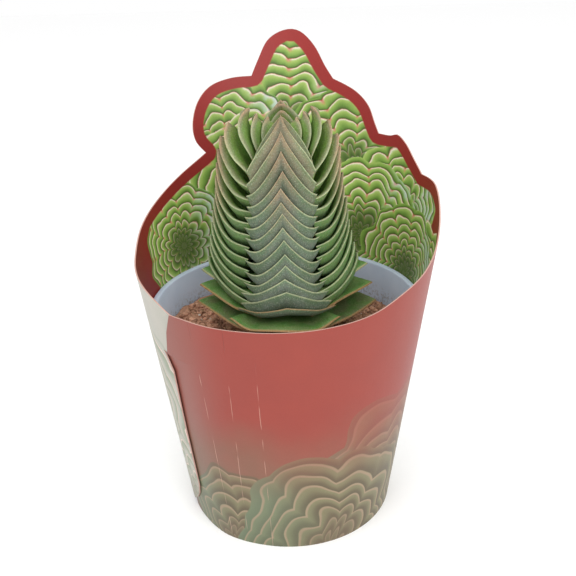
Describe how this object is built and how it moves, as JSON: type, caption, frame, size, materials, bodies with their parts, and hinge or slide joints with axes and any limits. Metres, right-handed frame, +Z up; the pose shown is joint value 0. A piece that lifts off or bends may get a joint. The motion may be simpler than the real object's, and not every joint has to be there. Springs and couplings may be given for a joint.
{
  "type": "potted column succulent in a card sleeve",
  "caption": "Square column of closely nested, cupped succulent leaves on one stem, rooted in a tapered nursery pot inside a conical card sleeve with a lobed back that stands up behind it.",
  "frame": {"origin": "on the pot's axis, at the underside of the pot's floor", "axes": "+Z up along the stem; -Y towards the low front of the sleeve; +X to the right seen from the front"},
  "size_m": [0.0931, 0.0982, 0.1452],
  "materials": {
    "pot_plastic": "satin",
    "potting_soil": "matte",
    "leaf": "satin",
    "printed_card": "satin"
  },
  "bodies": {
    "root": {"pot": "pot_plastic", "soil": "potting_soil", "leafy_stem": "leaf", "sleeve": "printed_card"}
  },
  "joints": []
}
